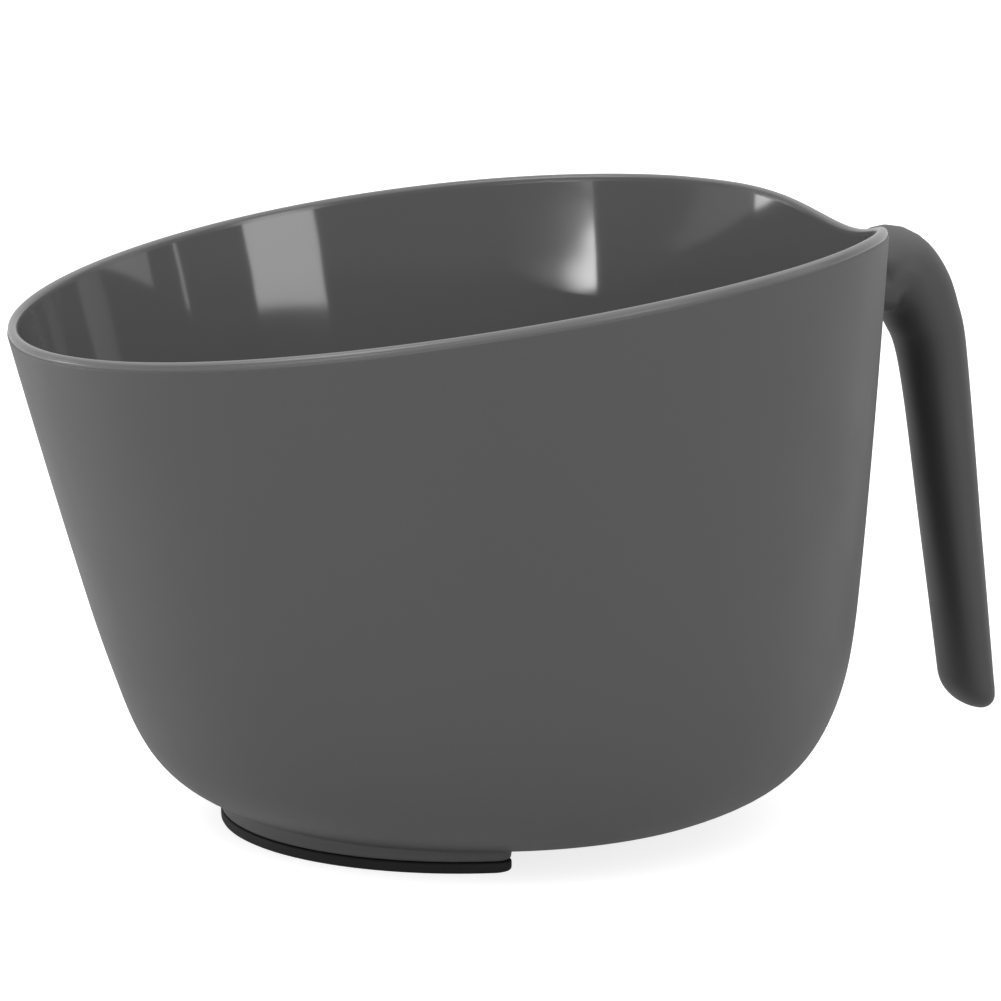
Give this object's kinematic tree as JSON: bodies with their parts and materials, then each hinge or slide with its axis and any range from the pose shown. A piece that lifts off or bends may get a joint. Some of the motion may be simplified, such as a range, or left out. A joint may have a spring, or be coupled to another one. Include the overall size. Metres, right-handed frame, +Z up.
{
  "type": "tint mixing bowl",
  "caption": "Leaning mixing bowl with a sweeping rim, an open hooked side handle and a non-slip half-moon foot.",
  "frame": {"origin": "on the table, under the centre of the bowl's level base", "axes": "+Z up, +X towards the handle, +Y across the bowl"},
  "size_m": [0.1738, 0.1506, 0.1024],
  "materials": {
    "bowl_plastic": "satin outside, glossy inside",
    "handle_plastic": "satin",
    "foot_plastic": "satin",
    "foot_rubber": "matt"
  },
  "bodies": {
    "root": {"bowl_shell": "bowl_plastic", "hook_handle": "handle_plastic", "foot_plinth": "foot_plastic", "foot_pad": "foot_rubber"}
  },
  "joints": []
}
